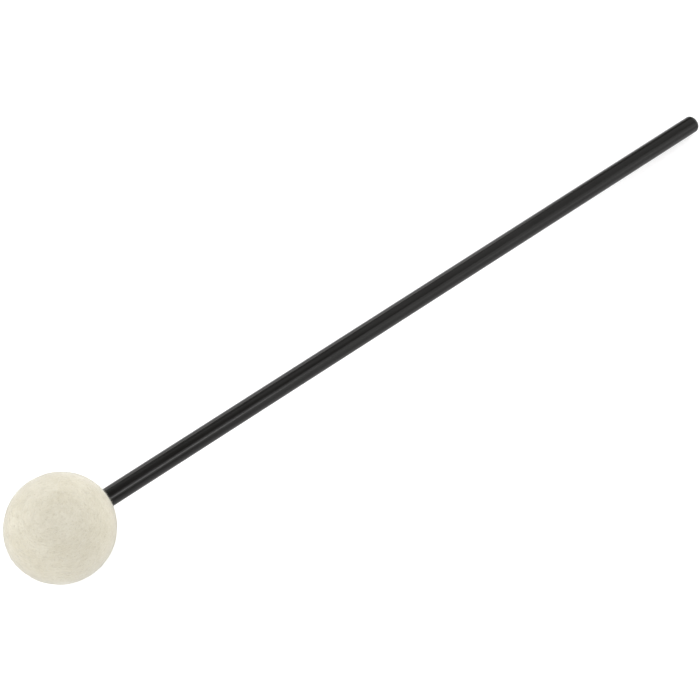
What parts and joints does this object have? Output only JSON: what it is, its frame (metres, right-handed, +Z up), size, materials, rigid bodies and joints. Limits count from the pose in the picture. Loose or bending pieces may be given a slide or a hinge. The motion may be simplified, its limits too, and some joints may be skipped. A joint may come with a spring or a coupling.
{
  "type": "drum mallet",
  "caption": "Drum mallet with a seamless white wool-felt ball over a wadded wooden core, glued on a long straight black glass-fibre shaft with a rounded butt.",
  "frame": {"origin": "on the surface that the mallet lies on, under the middle of its box", "axes": "+X runs the mallet's length, from the head at -X to the butt at +X; +Z is up as it lies at rest; the shaft falls 3 degrees from the head to the butt"},
  "size_m": [0.3596, 0.0434, 0.043],
  "materials": {
    "shaft": "satin black, glass-fibre reinforced, faint lengthwise grain",
    "core": "turned beech, unfinished",
    "glue": "cured amber glue",
    "wadding": "soft carded wool",
    "felt": "dense, matte, natural white wool felt"
  },
  "bodies": {
    "root": {"shaft": "shaft", "head_core": "core", "glue_plug": "glue", "inner_wadding": "wadding", "felt_cover": "felt"}
  },
  "joints": []
}
